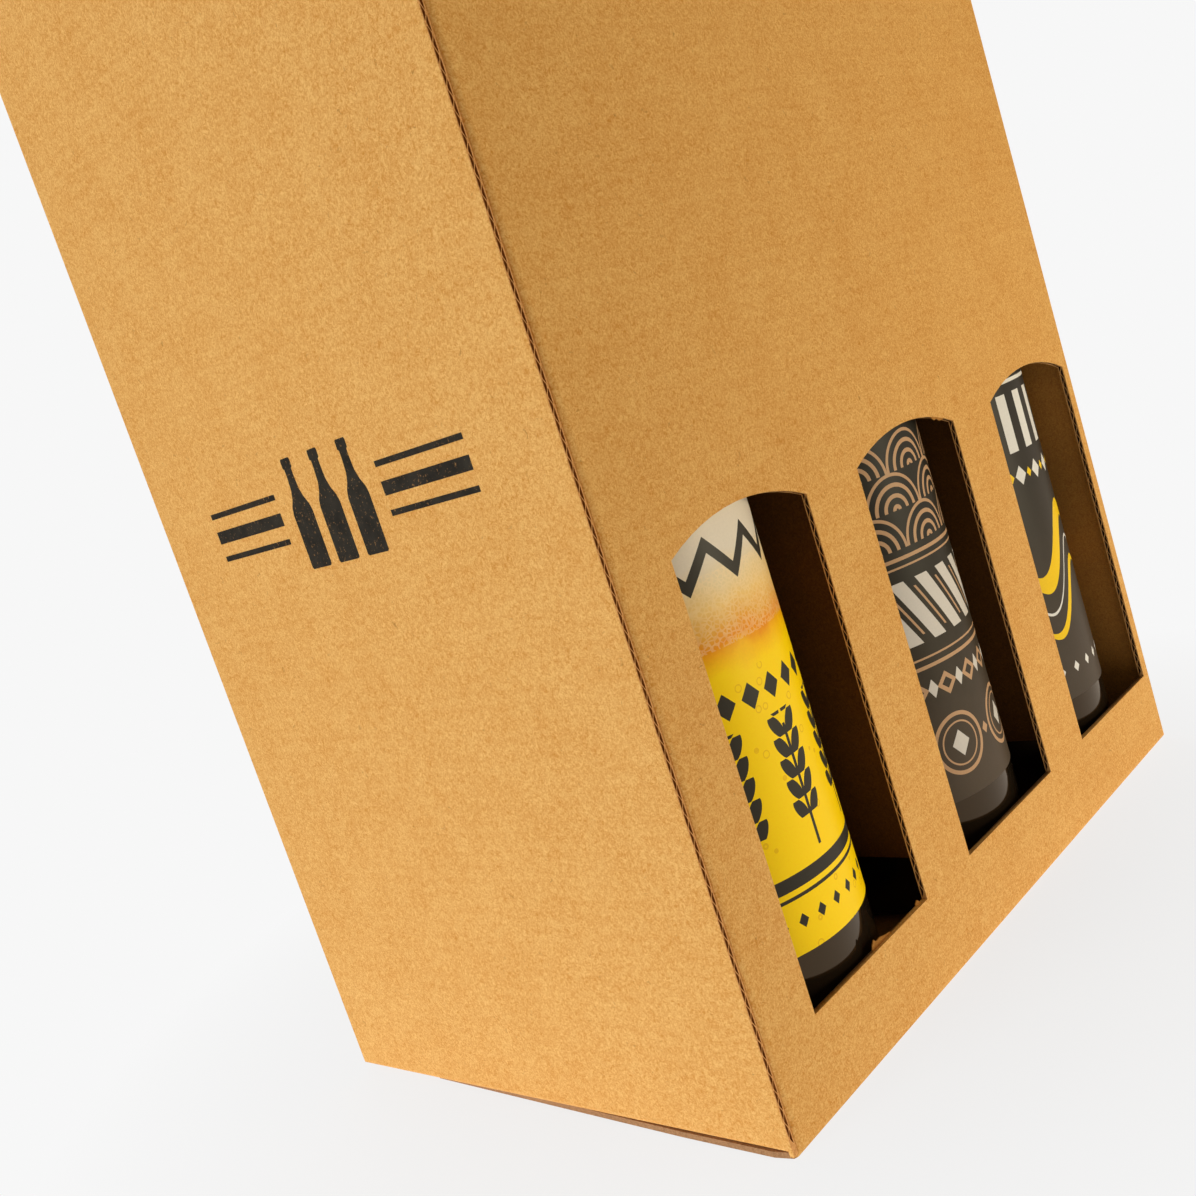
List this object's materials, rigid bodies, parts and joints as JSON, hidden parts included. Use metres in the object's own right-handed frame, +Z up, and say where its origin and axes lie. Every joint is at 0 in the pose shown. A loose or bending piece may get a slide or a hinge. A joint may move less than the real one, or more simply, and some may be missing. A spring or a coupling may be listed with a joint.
{
  "type": "bottle shipping box",
  "caption": "Kraft corrugated carton for upright bottles, with arched front windows, inner dividers, a hinged tuck lid, and labelled dark glass bottles inside.",
  "frame": {"origin": "middle of the box's footprint, on the surface that it stands on", "axes": "+Z up; the windowed front faces -Y; the side panel with the glued cut edge faces -X; +X to the right seen from the front"},
  "size_m": [0.21, 0.143, 0.28],
  "materials": {
    "kraft_board": "matt brown kraft liner",
    "divider_board": "matt brown kraft board",
    "dark_glass": "glossy near-black glass",
    "label_yellow": "satin printed paper",
    "label_scroll": "satin printed paper",
    "label_stroke": "satin printed paper",
    "cap_metal": "lacquered tinplate"
  },
  "bodies": {
    "carton": {"carton": "kraft_board", "long_divider": "divider_board", "cross_divider_1": "divider_board", "cross_divider_2": "divider_board", "bottle_1": "dark_glass", "label_1": "label_yellow", "crown_cap_1": "cap_metal", "bottle_2": "dark_glass", "label_2": "label_scroll", "crown_cap_2": "cap_metal", "bottle_3": "dark_glass", "label_3": "label_stroke", "crown_cap_3": "cap_metal", "bottle_4": "dark_glass", "label_4": "label_yellow", "crown_cap_4": "cap_metal", "bottle_5": "dark_glass", "label_5": "label_scroll", "crown_cap_5": "cap_metal", "bottle_6": "dark_glass", "label_6": "label_stroke", "crown_cap_6": "cap_metal"},
    "lid": {"lid": "kraft_board"}
  },
  "joints": [
    {"name": "lid_hinge", "type": "hinge", "parent": "carton", "child": "lid", "pos_m": [0, 0.0716, 0.27735], "axis": [-1, 0, 0], "range_deg": [0, 180]}
  ]
}
